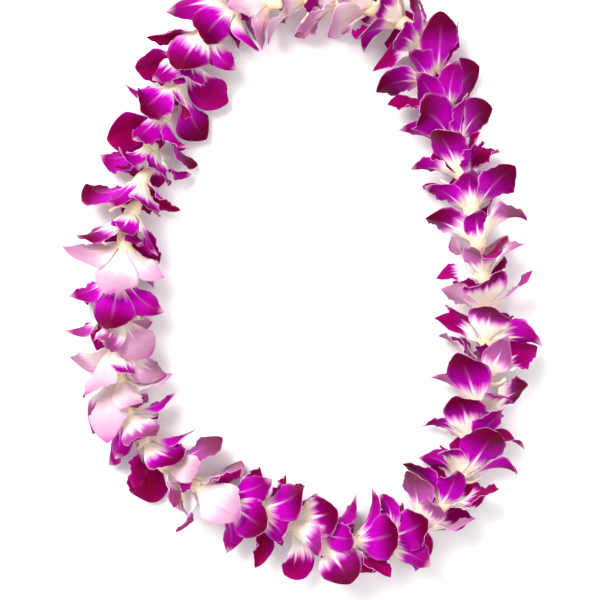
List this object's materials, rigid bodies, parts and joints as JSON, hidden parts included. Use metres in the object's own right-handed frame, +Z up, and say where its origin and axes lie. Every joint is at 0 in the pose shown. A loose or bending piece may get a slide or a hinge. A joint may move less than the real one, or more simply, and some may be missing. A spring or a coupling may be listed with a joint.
{
  "type": "fresh flower lei",
  "caption": "Closed garland of fresh magenta and white orchid blooms strung face to back on a hidden thread loop, worn round the neck.",
  "frame": {"origin": "middle of the loop's footprint, on the surface that the lei lies on", "axes": "+Z up, away from that surface; +Y along the loop towards the back of the neck, where the thread is knotted"},
  "size_m": [0.3126, 0.4208, 0.0576],
  "materials": {
    "cotton_string": "twisted white cotton",
    "petal_tissue": "fresh satin petal, magenta running to white at the root"
  },
  "bodies": {
    "root": {"stringing_thread": "cotton_string", "bloom_01": "petal_tissue", "bloom_02": "petal_tissue", "bloom_03": "petal_tissue", "bloom_04": "petal_tissue", "bloom_05": "petal_tissue", "bloom_06": "petal_tissue", "bloom_07": "petal_tissue", "bloom_08": "petal_tissue", "bloom_09": "petal_tissue", "bloom_10": "petal_tissue", "bloom_11": "petal_tissue", "bloom_12": "petal_tissue", "bloom_13": "petal_tissue", "bloom_14": "petal_tissue", "bloom_15": "petal_tissue", "bloom_16": "petal_tissue", "bloom_17": "petal_tissue", "bloom_18": "petal_tissue", "bloom_19": "petal_tissue", "bloom_20": "petal_tissue", "bloom_21": "petal_tissue", "bloom_22": "petal_tissue", "bloom_23": "petal_tissue", "bloom_24": "petal_tissue", "bloom_25": "petal_tissue", "bloom_26": "petal_tissue", "bloom_27": "petal_tissue", "bloom_28": "petal_tissue", "bloom_29": "petal_tissue", "bloom_30": "petal_tissue", "bloom_31": "petal_tissue", "bloom_32": "petal_tissue", "bloom_33": "petal_tissue", "bloom_34": "petal_tissue", "bloom_35": "petal_tissue", "bloom_36": "petal_tissue", "bloom_37": "petal_tissue", "bloom_38": "petal_tissue", "bloom_39": "petal_tissue", "bloom_40": "petal_tissue", "bloom_41": "petal_tissue", "bloom_42": "petal_tissue", "bloom_43": "petal_tissue", "bloom_44": "petal_tissue"}
  },
  "joints": []
}
